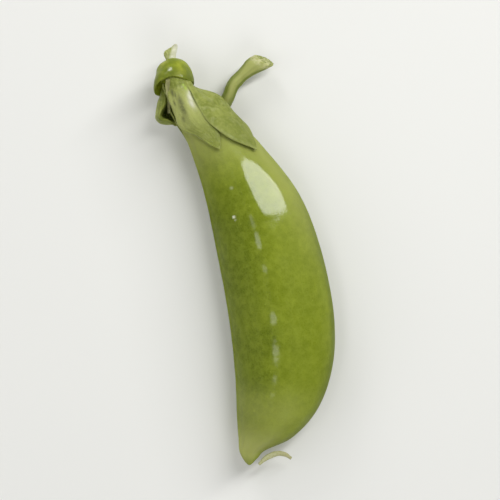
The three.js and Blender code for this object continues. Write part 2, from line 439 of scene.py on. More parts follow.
class CalyxSettings(PropertyGroup):
    """Sizes and colours of the receptacle and the sepals."""

    tube_radius: length("Tube radius", "Radius of the calyx where it leaves the receptacle", 1.75)
    gap: length("Gap", "Looseness of the sepals round the pod", 0.12)
    thickness: length("Thickness", "Thickness of a sepal at its middle", 0.3)
    vein_height: length("Vein height", "How far the veins stand out of a sepal", 0.03)
    sepal_deep: colour("Deep sepal", "Green of the sepals' blotches", "6d7828")
    sepal_mid: colour("Sepal", "Middle green of the sepals", "8e9646")
    sepal_pale: colour("Pale sepal", "Green of the veins and streaks", "a2a95a")
    sepal_faded: colour("Faded sepal", "Green of a paler, older sepal", "b8bd72")
    knob_deep: colour("Deep receptacle", "Deepest green of the receptacle", "748210")
    knob_pale: colour("Pale receptacle", "Lightest green of the receptacle", "aeb43c")


class StalkSettings(PropertyGroup):
    """Sizes and colours of the stalk."""

    radius: length("Radius", "Radius of the stalk", 0.95)
    end_radius: length("End radius", "Radius of the flared, torn end", 1.33)
    green: colour("Stalk", "Green of the stalk", "6a7820")
    pale: colour("Pale stalk", "Light green along its ribs", "abaf66")
    torn: colour("Torn end", "Pale fibres of the torn end", "c6c593")


class DriedSettings(PropertyGroup):
    """Colours of the dried remains of the flower."""

    papery: colour("Papery", "Dried, papery tissue", "bcbf86")
    bleached: colour("Bleached", "Bleached edges and fibres", "e2e2cc")
    # Painted shade: a darker papery colour for dried tissue that hangs in the pocket's shade.
    shaded_papery: colour("Dulled", "Dried tissue that lies in the shade", "968f62")
    browned: colour("Browned", "Brown specks and tips", "8d7f4d")
    fresh: colour("Fresh", "Green of the part that is still alive", "93a03a")


class StageSettings(PropertyGroup):
    """The floor and the camera."""

    floor_colour: colour("Floor", "Colour of the floor", "ecece8")
    lens: FloatProperty(name="Lens", description="Focal length", default=200.0)
    view_height: length("View height", "Height of the camera above the surface", 420)
    lean: FloatProperty(
        name="Lean", description="How far the pod leans in the picture",
        default=math.radians(8.9), subtype="ANGLE")


# ---------------------------------------- the hull

# The outline seen from above, as shares of the pod's box: the stem end, the straight
# edge down to the beak, the beak, and the bulging edge back up.
STEM_END = (0.075, 1.000)
STRAIGHT_EDGE = [
    (0.002, 0.970), (0.033, 0.914), (0.085, 0.861), (0.148, 0.735), (0.174, 0.577),
    (0.190, 0.411), (0.169, 0.235), (0.122, 0.086), (0.112, 0.033),
]
BEAK = (0.164, 0.000)
BULGING_EDGE = [
    (0.229, 0.013), (0.284, 0.029), (0.520, 0.054), (0.756, 0.118), (0.924, 0.221),
    (0.997, 0.358), (0.966, 0.551), (0.871, 0.684), (0.677, 0.804), (0.457, 0.907),
    (0.248, 0.975),
]
MIDDLE_HEIGHT = 0.477  # of the pod's height, where its two edges lie
STEM_RISE, BEAK_DROP = 1.0, 0.9  # millimetres that the ends lie above and below that
END_FATNESS = 0.94  # thickness over width at the ends
ROLL = math.tan(math.radians(3.0))  # slope of the section towards the bulging edge
BELLY_SOFTNESS = 0.05  # millimetres over which the flat belly turns up
UPPER_FLANK = math.pi / 2
STRAIGHT_SEAM = math.pi
CREST = math.radians(99)  # where the upper flank stands highest
ROUND = 1.2  # millimetres round the flank for each one of half thickness and radian
# The peas: share of the length where they begin, share that they take up, seed of their
# scatter, and share near which they are darkest.
FIRST_PEA, PEA_SPAN, PEA_SEED, DARKEST_PEA = 0.16, 0.74, 11, 0.72
# Shadows without a swelling: share and half length, angle and half width, and darkness.
PEA_SHADOWS = [(0.72, 0.085, 1.65, 0.7, 0.45), (0.645, 0.04, 1.75, 0.35, 0.70)]
# Ridges of each seam: height for each one of seam height, and middle and half width in
# millimetres to either side.
STRAIGHT_RIDGES = [(1.0, 0.75, 0.42), (-0.35, 0.0, 0.3), (0.8, 0.0, 1.4)]
BULGING_RIDGES = [(0.8, 0.0, 0.45), (0.5, 0.0, 1.2)]
RIPPLE_START, RIPPLE_STEP = 0.66, 0.076  # shares of the length
FLAT_PLACE, FLAT_ANGLE = 0.319, math.radians(65.0)  # where the shoulder is pressed flat
WAX, RUBBED_WAX, THICK_WAX = 0.045, 0.01, 0.155  # weights of the wax on the skin
# The thick wax on the shoulder: share, angle, half length and half width in millimetres,
# and how far it turns towards the bulging edge over its length.
SHOULDER_WAX = (0.310, math.radians(68.0), 5.0, 2.25, 0.06)
# Waxy spots left on the rubbed crest: share, half length and half width in millimetres,
# and weight of the wax.
CREST_WAX = [
    (0.385, 1.2, 0.30, 0.14), (0.430, 1.4, 0.38, 0.30), (0.496, 0.7, 0.38, 0.18),
    (0.612, 1.0, 0.50, 0.24), (0.693, 1.9, 0.62, 0.22), (0.759, 0.8, 0.45, 0.16),
    (0.792, 0.4, 0.35, 0.10),
]
# Painted glints and pale flecks: share, angle in degrees, radius in millimetres and strength. The
# first two are painted glints, the last a pale fleck.
GLINTS_AND_FLECKS = [(0.364, 120, 0.26, 0.8), (0.372, 119, 0.16, 0.4), (0.294, 110, 0.28, 0.22)]


class PodShape:
    """The hull's cross-sections, read by the share of the way from stem end to beak.
    Angles go round from the bulging edge over the upper flank to the straight edge."""

    def __init__(self, settings):
        shares = [STEM_END, *STRAIGHT_EDGE, BEAK, *BULGING_EDGE]
        low, size = box_of("pod")
        outline = curve_through(low[:2] + np.array(shares) * size[:2], closed=True)
        beak = round(len(outline) * (len(STRAIGHT_EDGE) + 1) / len(shares))
        self.straight = Course(outline[:beak])
        self.bulging = Course(outline[beak - 1:][::-1])
        self.floor = low[2]
        self.height = low[2] + MIDDLE_HEIGHT * size[2]
        self.settings = settings
        self.full_width = np.linalg.norm(self.straight.at(0.5) - self.bulging.at(0.5))
        self.length = (self.straight.length + self.bulging.length) / 2
        self.peas = self.scatter_peas()

    def scatter_peas(self):
        """Place, lean towards the straight seam, swelling, size and darkness of each pea."""
        chance = random.Random(PEA_SEED)
        count = self.settings.pea_count
        peas = []
        for k in range(count):
            share = FIRST_PEA + PEA_SPAN * (k + 0.5) / count + chance.uniform(-0.006, 0.006)
            lean = math.radians(chance.uniform(27, 34))
            swelling = self.settings.pea_swelling / MM * chance.uniform(0.7, 1.2)
            darkness = chance.uniform(0.3, 0.6) + 0.45 * bell((share - DARKEST_PEA) / 0.08)
            peas.append((share, lean, swelling, chance.uniform(2.3, 2.7), darkness))
        return peas

    def section(self, share):
        """Centre, half width towards the bulging edge, and half thickness."""
        straight, bulging = self.straight.at(share), self.bulging.at(share)
        width = np.linalg.norm(bulging - straight, axis=-1)
        fullness = smooth(0.2, 0.9, width / self.full_width)
        fatness = END_FATNESS + (self.settings.fatness - END_FATNESS) * fullness
        rise = STEM_RISE * smooth(0.4, 0, share) - BEAK_DROP * smooth(0.6, 1, share)
        centre = np.column_stack([(straight + bulging) / 2, self.height + rise])
        across = np.column_stack([(bulging - straight) / 2, ROLL * width / 2])
        return centre, across, width * fatness / 2

    def nearness_to_peas(self, share, angle, thick):
        """How far the flank swells over the peas, in millimetres, and how near they are."""
        swelling, nearness = np.zeros_like(share), np.zeros_like(share)
        for place, lean, height, size, darkness in self.peas:
            for middle in (UPPER_FLANK + lean, -UPPER_FLANK - lean):
                round_it = off(angle, middle) * thick * 1.15
                distance = np.hypot((share - place) * self.length, round_it) / size
                swelling += height * bell(distance / 1.15)
                nearness = np.maximum(nearness, darkness * smooth(1.25, 0.65, distance))
        return swelling, nearness

    def seams(self, share, angle, thick):
        """Relief of the two seams in millimetres, and how near the nearer one is."""
        straight, bulging = off(angle, STRAIGHT_SEAM) * thick, off(angle) * thick
        relief = sum(
            height * bell((far - middle) / width)
            for far, ridges in ((straight, STRAIGHT_RIDGES), (bulging, BULGING_RIDGES))
            for height, middle, width in ridges)
        relief *= self.settings.seam_height / MM * between(share, 0.0, 0.05, 0.95, 1.0)
        return relief, np.maximum(bell(straight / 1.1), bell(bulging / 0.8))

    def away(self, share, angle, thick, place, turn):
        """Millimetres from a place on the flank, down the pod and round it."""
        return (share - place) * self.length, (angle - turn) * thick * ROUND

    def wax(self, points, share, angle, thick):
        """Weight of the wax: thick on the shoulder, thin round that spot, on the neck, the
        bulging seam and the rubbed crest, but for small spots."""
        place, turn, half_length, half_width, slant = SHOULDER_WAX
        down, side = self.away(share, angle, thick, place, turn)
        lower = (down - slant * side) / math.hypot(1, slant) / half_length
        wide = (side + slant * down) / math.hypot(1, slant) / half_width
        ragged = rough(points, 0.7, 5, 2)
        far = np.hypot(lower, wide / (1 + 0.28 * np.clip(lower, -1, 1))) + 0.07 * ragged
        on_crest = smooth(0.34, 0.39, share)
        rubbed = smooth(2.2, 1.7, far) + (1 - on_crest) * smooth(1.45, 1.62, angle)
        rubbed += on_crest * smooth(0.35, 0.2, np.abs(angle - CREST)) + smooth(0.5, 0.2, off(angle))
        weight = WAX + (RUBBED_WAX - WAX) * np.minimum(rubbed, 1.0)
        weight = np.maximum(weight, THICK_WAX * smooth(1.1, 0.9, far))
        for place, half_length, half_width, spot in CREST_WAX:
            down, side = self.away(share, angle, thick, place, CREST)
            far = np.hypot(down / half_length, side / half_width) + 0.3 * ragged
            weight = np.maximum(weight, spot * smooth(1.25, 0.6, far))
        return weight

    def flecks(self, share, angle, thick):
        """Nearness to a painted glint or a pale fleck."""
        nearness = np.zeros_like(share)
        for place, turn, size, strength in GLINTS_AND_FLECKS:
            far = np.hypot(*self.away(share, angle, thick, place, math.radians(turn))) / size
            nearness = np.maximum(nearness, strength * smooth(1.3, 0.5, far))
        return nearness

    def relief(self, points, share, angle, thick):
        """How far the skin stands off the plain section, in millimetres, and how near the
        seams and the peas are."""
        swelling, pea = self.nearness_to_peas(share, angle, thick)
        seam, near_seam = self.seams(share, angle, thick)
        body = smooth(0.5, 2.5, thick)
        waves = 0.07 * rough(points, 9.0, 1) + 0.02 * rough(points, 2.2, 2)
        ribs = np.sin(angle * 11 + 2.0 * rough(points, 7.0, 3))
        ribs *= 0.04 * self.paleness(share, angle)
        phase = (share - RIPPLE_START) / RIPPLE_STEP + 0.25 * rough(points, 8.0, 4)
        ripples = np.sqrt(np.cos(math.pi * phase) ** 2 + 0.02) * bell((off(angle) - CREST) / 0.5)
        ripples *= self.settings.ripple / MM * between(share, 0.3, 0.4, 0.8, 0.9)
        pressed = bell((share - FLAT_PLACE) * self.length / 3.3) * bell((angle - FLAT_ANGLE) / 0.4)
        ripples -= self.settings.flat / MM * pressed
        lift = (swelling - 0.12 + waves + ribs + ripples) * body + seam * smooth(0.3, 1.2, thick)
        return lift, near_seam, pea * body

    def paleness(self, share, angle):
        """How much of the pale neck and the pale end there is."""
        low_end = 0.45 * smooth(0.74, 0.84, share) + 0.8 * smooth(0.86, 0.95, share)
        # Along the bulging side the pale end is held back: painted shade on that edge.
        low_end *= 1 - 0.7 * smooth(0.3, 0.95, np.cos(angle)) - 0.6 * smooth(0.96, 1.0, share)
        return smooth(0.30, 0.12, share) + low_end

    def surface(self, share, angle):
        """Points on the skin, and the features that colour it."""
        centre, across, thick = self.section(share)
        half, deep = np.maximum((np.linalg.norm(across, axis=-1), thick), 1e-3)
        points, outward = oval(centre, unit(across), half, deep, angle)
        lift, near_seam, pea = self.relief(points, share, angle, thick)
        more = sum(
            darkness * bell((share - place) / long) * bell((angle - turn) / wide)
            for place, long, turn, wide, darkness in PEA_SHADOWS)
        # The bulging edge is shaded along its lower part.
        shadow = smooth(0.48 + 0.15 * smooth(0.6, 0.9, share), 0.15, off(angle, -0.2) - 0.2)
        features = {
            "pea": pea + more * smooth(0.5, 2.5, thick), "seam": near_seam,
            "ring_x": np.cos(angle), "ring_y": np.sin(angle), "along": share,
            "neck": self.paleness(share, angle), "flank": smooth(-0.9, 0.9, np.cos(angle)),
            # Painted sheen: a pale haze painted round the highlight on the shoulder.
            "painted_sheen": bell((share - 0.29) / 0.17) * bell((angle - 0.55) / 0.5),
            "shadow": shadow * between(share, 0.28, 0.5, 0.93, 0.99),
            "wax": self.wax(points, share, angle, thick),
            "glint_and_fleck": self.flecks(share, angle, thick),
        }
        points = points + outward * lift[:, None]
        above = points[:, 2] - self.floor
        points[:, 2] = self.floor + (above + np.sqrt(above ** 2 + BELLY_SOFTNESS ** 2)) / 2
        return points, features


def pod_material(settings):
    """Waxy green skin: darker over the peas, paler at the neck, the beak and the seams, with a
    faint slanting network of veins. Painted shade deepens the flank towards the straight seam,
    partly the skin's own deeper tone."""
    skin = Recipe("hull_skin", 0.08)
    skin.translucent(0.12, 1.4, (0.75, 1.0, 0.1))
    skin.waxed(skin.feature("wax"), 0.09)
    mottle = skin.patches(0.9, 4.0, 0.38, 0.64)
    grain = skin.window(skin.cells(0.3), 0.1, 0.6)
    veins = skin.cells({"ring_x": 5.0, "ring_y": 5.0, "along": 34.0}, "DISTANCE_TO_EDGE")
    deep, light, pale = settings.skin_deep, settings.skin_light, settings.skin_pale
    skin.colour(
        settings.skin_mid,
        # Painted shade: the flank towards the straight seam, which faces away from the key lamp, is
        # painted deeper, partly the skin's own deeper tone.
        (skin.window(skin.feature("flank"), 0.05, 0.75, 0.75, 0.0), 1, deep),
        (skin.patches(7.0, 3.0, 0.35, 0.68), 0.32, light),
        (skin.patches(2.4, 3.0, 0.35, 0.68), 0.22, deep),
        ("pea", 0.55, deep),
        (mottle, 0.18, light),
        (skin.window(veins, 0.0, 0.06, 0.08, 0.0), 1, light),
        (grain, 0.12, light),
        (skin.window(skin.cells(1.7), 0.04, 0.10, 0.35, 0.0), 1, light),
        ("shadow", 0.55, deep),
        ("seam", 0.12, pale),
        ("neck", 0.8, pale),
        # Painted sheen round the shoulder's highlight.
        ("painted_sheen", 0.6, pale),
        # Painted glints, and one pale fleck, in near white.
        ("glint_and_fleck", 1, paint("e2e5cc")))
    skin.skin({"Roughness": skin.patches(3.0, 4.0, 0.3, 0.7, 0.44, 0.58)})
    skin.relief((mottle, 0.008), (grain, 0.006), (skin.noise(0.25), 0.003))
    return skin.material


class PEAPOD_OT_hull(Operator):
    """Build the hull: two plump flanks joined along two seams"""

    bl_idname = "peapod.hull"
    bl_label = "Build Hull"

    def execute(self, context):
        settings = context.scene.pea_hull
        ring = (np.arange(settings.rings) + 1.0) / (settings.rings + 1.0)
        share = (ring + (1 - np.cos(math.pi * ring)) / 2) / 2
        angle = np.linspace(0, TURN, settings.sides, endpoint=False)
        share, angle = np.meshgrid(share, angle, indexing="ij")
        points, features = PodShape(settings).surface(
            with_poles(share, last=1.0), with_poles(angle))
        make_piece("hull", points, ball_faces(settings.rings, settings.sides),
                   pod_material(settings), "pod", features)
        return {"FINISHED"}


# ---------------------------------------- the calyx

CALYX_BASE = (0.575, 0.146, 0.581)  # in the receptacle's box, where the sepals leave it
BASE_SLOPE = 0.38  # the mouth of the receptacle leans back by this much
SEPAL_REACH = 0.235  # share of the pod's edge that the calyx covers
NECK_REACH = 0.1  # part of each sepal that lies before the pod begins
VEINS = (-0.82, -0.56, -0.29, 0.0, 0.27, 0.55, 0.83)
SEPAL_SKIN = "sepal_skin"

# Sepals that lie against the pod. Each is bounded by two edges, whose angles round the
# pod are given in degrees from the receptacle to the tip. Base, tip, over, stand and curl
# are millimetres off the pod. A blot, lime or painted highlight is a place across and along
# and a size.
PLAIN_SEPAL = {"over": 0.0, "stand": 0.0, "blot": (), "painted_highlight": (), "lime": (), "fade": 0.2}
LYING_SEPALS = {
    "sepal_right": {
        "start": -0.05, "reach": 0.95, "seed": 3,
        "first": (-14, -30, -34, -28, 2, 42), "second": (46, 54, 75, 87, 76, 46),
        "over": 0.30, "stand": 1.1, "base": 0.10, "tip": 0.22, "curl": (0.10, 0.20),
        "lime": ((0.10, 0.10, 0.06),), "fade": 0.0,
    },
    "sepal_middle": {
        "start": -0.05, "reach": 0.85, "seed": 5,
        "first": (36, 42, 62, 74, 81, 97), "second": (134, 150, 148, 154, 125, 98),
        "base": 0.10, "tip": 0.30, "curl": (0.0, 0.42),
        "blot": ((0.04, 0.38, 0.16), (0.14, 0.46, 0.18), (0.40, 0.57, 0.08), (0.45, 0.26, 0.10),
                 (0.25, 0.29, 0.07), (0.50, 0.37, 0.07)),
        "painted_highlight": ((-0.64, 0.37, 0.13), (-0.52, 0.44, 0.12), (-0.72, 0.32, 0.06)),
        "lime": ((-0.48, 0.19, 0.06), (-0.55, 0.25, 0.06)), "fade": 0.85,
    },
    "sepal_under_left": {
        "start": -0.02, "reach": 0.79, "seed": 8,
        "first": (166, 178, 188, 194, 198, 202), "second": (244, 252, 254, 246, 228, 208),
        "base": 0.06, "tip": 0.10, "curl": (0.02, 0.2),
    },
    "sepal_under_right": {
        "start": -0.02, "reach": 0.8, "seed": 13,
        "first": (246, 260, 266, 264, 270, 291), "second": (340, 326, 320, 318, 312, 297),
        "base": 0.08, "tip": 0.15, "curl": (0.15, 0.2),
    },
}

# The curled sepal is a small boat, moored against the pod. Four rails run from the
# receptacle to its bow, in its own box: the rolled margin, the crest of the roll, the
# bottom, and the side that leans on the pod. Each is keyed by where it lies across.
POCKET_RAILS = {
    -1.0: [(0.84, 1.30, 0.70), (0.56, 1.00, 0.72), (0.32, 0.77, 0.72), (0.14, 0.50, 0.69),
           (-0.02, 0.25, 0.61), (0.18, 0.08, 0.49), (0.65, -0.01, 0.47), (1.05, -0.04, 0.54),
           (1.34, -0.06, 0.63)],
    -0.55: [(1.00, 1.30, 0.90), (0.98, 0.97, 0.96), (0.92, 0.76, 1.00), (0.68, 0.56, 1.00),
            (0.35, 0.32, 0.97), (0.44, 0.20, 0.86), (0.79, 0.14, 0.78), (1.06, 0.06, 0.74),
            (1.34, -0.05, 0.68)],
    0.2: [(0.88, 1.30, 0.55), (0.90, 0.95, 0.40), (0.90, 0.68, 0.24), (0.75, 0.50, 0.16),
          (0.65, 0.34, 0.13), (0.79, 0.25, 0.16), (0.94, 0.18, 0.24), (1.10, 0.08, 0.44),
          (1.36, -0.05, 0.62)],
    1.0: [(1.10, 1.30, 0.50), (1.12, 0.97, 0.50), (1.10, 0.75, 0.52), (1.10, 0.57, 0.52),
          (1.14, 0.41, 0.54), (1.24, 0.27, 0.56), (1.36, 0.16, 0.58), (1.46, 0.06, 0.62),
          (1.50, -0.04, 0.64)],
}

# Radius and height of the receptacle's skin along its axis, in millimetres: the short
# neck that the sepals grow from, the mouth, its rim, and the dome.
RECEPTACLE_SKIN = [
    (0.05, -2.5), (1.1, -2.4), (1.4, -1.6), (1.55, -0.6), (1.95, -0.2), (2.45, -0.45),
    (2.72, -0.95), (2.88, -0.95), (2.98, -0.5), (2.97, 0.2), (2.85, 1.0), (2.45, 1.9),
    (1.8, 2.55), (0.95, 2.98), (0.05, 3.06),
]
# How far the rim draws back, round the axis from the right side over the top.
RECEPTACLE_RIM = (
    -0.08, -0.36, -0.22, 0.30, 0.12, -0.28, -0.52, -0.45, -0.33, -0.25, -0.22, -0.14, -0.08)
RECEPTACLE_CENTRE = (0.499, 0.327, 0.512)
RECEPTACLE_AXIS = np.array((-0.02, 0.93, -0.36))
RECEPTACLE_SHINE = (0.464, 0.657, 1.0)  # in its box, above the place where the wax is thickest
SHINE_DEPTH = 3.0  # millimetres below that place, where the thick wax ends


class CalyxShape:
    """The surface that the sepals grow along: a short tube that widens over the pod."""

    def __init__(self, pod, settings):
        self.pod = pod
        self.base = places_in("receptacle", CALYX_BASE)
        self.tube = settings.tube_radius / MM
        self.gap = settings.gap / MM

    def place(self, reach, angle, lift):
        """Points at a reach (0 at the receptacle, 1 at the longest tip), an angle, and a
        lift in millimetres off the surface."""
        share = SEPAL_REACH * np.maximum(reach - NECK_REACH, 0) / (1 - NECK_REACH)
        centre, across, thick = self.pod.section(share)
        _, facing, _ = self.pod.section(np.maximum(share, 0.02))
        half = (np.linalg.norm(across, axis=-1) ** 4 + self.tube ** 4) ** 0.25 + self.gap
        deep = (thick ** 4 + self.tube ** 4) ** 0.25 + self.gap
        onto = smooth(0, NECK_REACH, reach)[:, None]
        backward = np.minimum(reach, 0)[:, None] * SEPAL_REACH * self.pod.length
        centre = self.base * (1 - onto) + centre * onto - backward * RECEPTACLE_AXIS
        turned = smooth(0, 0.3, reach)[:, None]
        facing = unit(unit(facing) * turned + np.array((1.0, 0.0, 0.0)) * (1 - turned))
        points, outward = oval(centre, facing, half, deep, angle)
        points[:, 1] += BASE_SLOPE * (points[:, 2] - centre[:, 2]) * smooth(0.3, 0, reach)
        skin, _, _ = self.pod.relief(points, share, angle, thick)
        return points + outward * (lift + skin * smooth(0.15, 0.4, reach))[:, None]


def sepal_material(settings):
    """Matt, leafy green, softly streaked along its veins, with paler edges, grey-brown blots,
    a painted highlight on a fold of the middle sepal, and painted shade inside the curled sepal."""
    leaf = Recipe(SEPAL_SKIN, 0.15)
    leaf.translucent(0.10, 0.8, (0.8, 1.0, 0.2))
    leaf.waxed(0.04, 0.2)
    streaks = leaf.patches({"across": 6.0, "along": 2.2}, 2.0, 0.3, 0.7)
    blotches = leaf.patches(1.8, 4.0, 0.38, 0.62)
    flecks = leaf.patches(0.5, 3.0, 0.40, 0.66)
    worn = leaf.patches(1.1, 5.0, 0.50, 0.66)
    grain = leaf.window(leaf.cells(0.24), 0.1, 0.55)
    ragged = leaf.window(flecks, 0.0, 1.0, 1.0, 0.75)
    deep, pale = settings.sepal_deep, settings.sepal_pale
    leaf.colour(
        settings.sepal_mid,
        (streaks, 0.4, pale),
        (blotches, 0.7, deep),
        (flecks, 0.5, pale),
        (worn, 0.30, paint("b3b784")),
        ("fade", 1, settings.sepal_faded),
        (leaf.window(leaf.feature("along"), 0.4, 0.9, 0.0, 0.45), 1, deep),
        ("vein", 0.08, deep),
        ("edge", 0.35, paint("bcc27c")),
        (grain, 0.12, deep),
        (leaf.math("MULTIPLY", leaf.feature("blot"), ragged), 0.9, paint("62653f")),
        ("lime", 0.7, paint("a9c640")),
        # Painted highlight: a whitish gleam on a fold of the middle sepal.
        ("painted_highlight", 0.85, paint("dcdcc8")),
        ("shade", 0.15, paint("6a7238")))
    leaf.skin({"Roughness": leaf.patches(1.1, 3.0, 0.3, 0.7, 0.46, 0.62)})
    leaf.relief((streaks, 0.006), (blotches, 0.05), (worn, 0.02), (grain, 0.02),
                (leaf.noise(0.16), 0.01))
    return leaf.material


def make_sepal(node, outer, inner, shape, material, across, along, vein, shade=0.0, **marks):
    """A sepal from its two layers, with its marks as features. Only the inner one is shaded."""
    edge = np.minimum(smooth(0.86, 1.0, np.abs(across)) + smooth(0.95, 1.0, along), 1.0)
    marks = {"blot": 0.0, "painted_highlight": 0.0, "lime": 0.0, "fade": 0.0, **marks}
    marks.update(across=across, along=along, vein=vein, edge=edge)
    features = {key: np.tile(value + 0 * across, 2) for key, value in marks.items()}
    features["shade"] = np.concatenate([0 * across, shade + 0 * across])
    make_piece(node + "_leaf", np.vstack([outer, inner]), blade_faces(*shape), material,
               node, features)


def veins_at(across, along):
    """Nearness to a lengthwise vein, which thins out towards the tip."""
    bend = across * (1 + 0.12 * np.sin(3.0 * along))
    nearness = [(0.7 if vein else 1.0) * bell((bend - vein) / 0.055) for vein in VEINS]
    return np.max(nearness, axis=0) * smooth(1.0, 0.8, along)


def spots(places, across, along):
    """Nearness to the nearest of the spots, each a place across and along and a size."""
    nearness = np.zeros_like(across)
    for place_across, place_along, size in places:
        distance = np.hypot((across - place_across) * 0.4, along - place_along)
        nearness = np.maximum(nearness, bell(distance / size * 2))
    return nearness


class PEAPOD_OT_sepals(Operator):
    """Build the four sepals that lie against the pod"""

    bl_idname = "peapod.sepals"
    bl_label = "Build Lying Sepals"

    shape = 56, 110

    def execute(self, context):
        settings = context.scene.pea_calyx
        calyx = CalyxShape(PodShape(context.scene.pea_hull), settings)
        material = sepal_material(settings)
        for node, form in LYING_SEPALS.items():
            self.build(node, {**PLAIN_SEPAL, **form}, calyx, settings, material)
        return {"FINISHED"}

    def build(self, node, form, calyx, settings, material):
        across, along = blade_grid(*self.shape)
        seed = form["seed"]
        first, second = run(form["first"])(along), run(form["second"])(along)
        wander = 1.6 * rough(columns(along * 6, np.sign(across), 0.0), 1.0, seed) * across ** 4
        angle = np.radians(first + (second - first) * (across + 1) / 2 + wander)
        reach = form["start"] + (form["reach"] - form["start"]) * along
        crumple = rough(columns(across * 1.5, along * 3.6, 0.0), 1.0, seed + 1, 2)
        lift = form["base"] + 0.13 * crumple * np.sin(math.pi * along)
        lift += form["over"] * smooth(-0.2, 0.7, across) * (0.4 + 0.6 * smooth(0.1, 0.4, along))
        lift += form["stand"] * bell((along - 0.40) / 0.17) * smooth(0.2, -0.6, across)
        low_curl, high_curl = form["curl"]
        curl = low_curl * smooth(0.6, 1.0, -across) + high_curl * smooth(0.6, 1.0, across)
        flutter = 0.55 + 0.45 * np.sin(along * 15 + seed)
        lift += curl * flutter * smooth(0.1, 0.35, along)
        lift = np.maximum(lift + form["tip"] * smooth(0.9, 1.0, along), 0.04)
        thinning = (1 - 0.7 * across ** 6) * (1 - 0.5 * smooth(0.85, 1, along))
        vein = veins_at(across, along)
        outer = lift + settings.thickness / MM * thinning + settings.vein_height / MM * vein
        marks = {key: spots(form[key], across, along) for key in ("blot", "painted_highlight", "lime")}
        fade = form["fade"] * between(along, 0.15, 0.4, 0.5, 0.95)
        make_sepal(
            node, calyx.place(reach, angle, outer), calyx.place(reach, angle, lift), self.shape,
            material, across, along, vein, fade=fade, **marks)


class PEAPOD_OT_curled_sepal(Operator):
    """Build the small sepal that stands off the pod, curled up into a pocket"""

    bl_idname = "peapod.curled_sepal"
    bl_label = "Build Curled Sepal"

    shape = 72, 90

    def execute(self, context):
        settings = context.scene.pea_calyx
        across, along = blade_grid(*self.shape)
        inner = np.zeros((len(across), 3))
        for stop, rail in POCKET_RAILS.items():
            others = [other for other in POCKET_RAILS if other != stop]
            weight = np.prod([(across - other) / (stop - other) for other in others], axis=0)
            inner += course_in("sepal_left", rail).at(along) * weight[:, None]
        sheet = inner.reshape(self.shape[1] + 1, self.shape[0] + 1, 3)
        slopes = np.cross(np.gradient(sheet, axis=1), np.gradient(sheet, axis=0))
        outward = unit(slopes.reshape(-1, 3))
        outward *= -np.sign(outward[len(outward) // 2, 2])
        crumple = rough(columns(across * 1.8, along * 4.0, 0.0), 1.0, 21, 2)
        inner = inner + outward * (0.12 * crumple * smooth(1.0, 0.8, along))[:, None]
        vein = veins_at(across, along)
        body = settings.thickness / MM * (1 - 0.55 * np.abs(across) ** 6)
        outer = inner + outward * (body + settings.vein_height / MM * vein)[:, None]
        make_sepal("sepal_left", outer, inner, self.shape, bpy.data.materials[SEPAL_SKIN], across,
                   along, vein, shade=smooth(-0.62, -0.3, across) * smooth(0.05, 0.25, along))
        return {"FINISHED"}


def receptacle_material(settings):
    """Smooth, shiny green, faintly ribbed and patchy, deeper on its two lobes and at its rim, both
    painted shade.
    """
    knob = Recipe("receptacle_skin", 0.15)
    knob.translucent(0.12, 1.0, (0.8, 1.0, 0.15))
    knob.waxed(knob.window(knob.feature("shine"), 0.0, 1.0, 0.06, 0.6), 0.12)
    patches = knob.patches(1.8, 4.0, 0.32, 0.68)
    grain = knob.window(knob.cells(0.3), 0.1, 0.6)
    deep = settings.knob_deep
    # Painted shade: deeper green on the dome's two sides, and a dark band under the overhanging
    # rim.
    knob.colour(deep, (patches, 1, settings.knob_pale), ("lobe", 0.6, deep),
                ("rim", 0.55, paint("4f5a18")), (grain, 0.15, deep))
    knob.skin({"Roughness": knob.patches(0.9, 3.0, 0.3, 0.7, 0.36, 0.5)})
    knob.relief((patches, 0.03), (grain, 0.015))
    return knob.material


class PEAPOD_OT_receptacle(Operator):
    """Build the round receptacle, whose rim hangs over the sepals like a hood"""

    bl_idname = "peapod.receptacle"
    bl_label = "Build Receptacle"

    rings, sides = 150, 120

    def execute(self, context):
        skin = Course(curve_through(RECEPTACLE_SKIN)).at(np.linspace(0, 1, self.rings))
        angles = np.linspace(0, TURN, self.sides, endpoint=False)
        radius, angle = np.meshgrid(skin[:, 0], angles, indexing="ij")
        height = np.repeat(skin[:, 1:], self.sides, axis=1)
        rim = smooth(2.3, 2.9, radius) * smooth(1.2, -0.6, height)
        leftward = smooth(0.0, 1.0, -np.cos(angle))
        radius = radius + leftward * (0.2 * rim - 0.35 * bell(height - 1.2))
        dome = smooth(0.2, 2.8, height)
        ribs = 1 + 0.02 * np.cos(5 * angle + 0.7) * (1 - dome) - 0.035 * np.cos(3 * angle) * dome
        axis = unit(RECEPTACLE_AXIS)
        side = unit(np.cross(axis, (0.0, 0.0, 1.0)))
        top = np.cross(side, axis)
        spread = side * np.cos(angle)[..., None] + top * np.sin(angle)[..., None]
        height = height + run(RECEPTACLE_RIM)(angle / TURN) * rim
        points = spread * (radius * ribs)[..., None] + axis * height[..., None]
        points = points + side * (0.2 * dome)[..., None]
        points = np.vstack([axis * skin[0, 1], points.reshape(-1, 3), axis * skin[-1, 1]])
        outward = unit(points)
        points = places_in("receptacle", RECEPTACLE_CENTRE) + points
        lumps = 0.13 * rough(points, 2.8, 31) + 0.018 * rough(points, 0.9, 32)
        points = points + outward * lumps[:, None]
        above = places_in("receptacle", RECEPTACLE_SHINE)
        far = np.linalg.norm((points - above)[:, :2], axis=1)
        shine = smooth(0.48, 0.22, far) * (points[:, 2] > above[2] - SHINE_DEPTH)
        # Painted shade on the dome's two sides.
        lobe = smooth(0.35, 1.0, np.abs(np.cos(angle)))
        make_piece(
            "receptacle_knob", points, ball_faces(self.rings, self.sides),
            receptacle_material(context.scene.pea_calyx), "receptacle",
            {"rim": with_poles(rim), "lobe": with_poles(lobe), "shine": shine})
        return {"FINISHED"}


# ---------------------------------------- the stalk

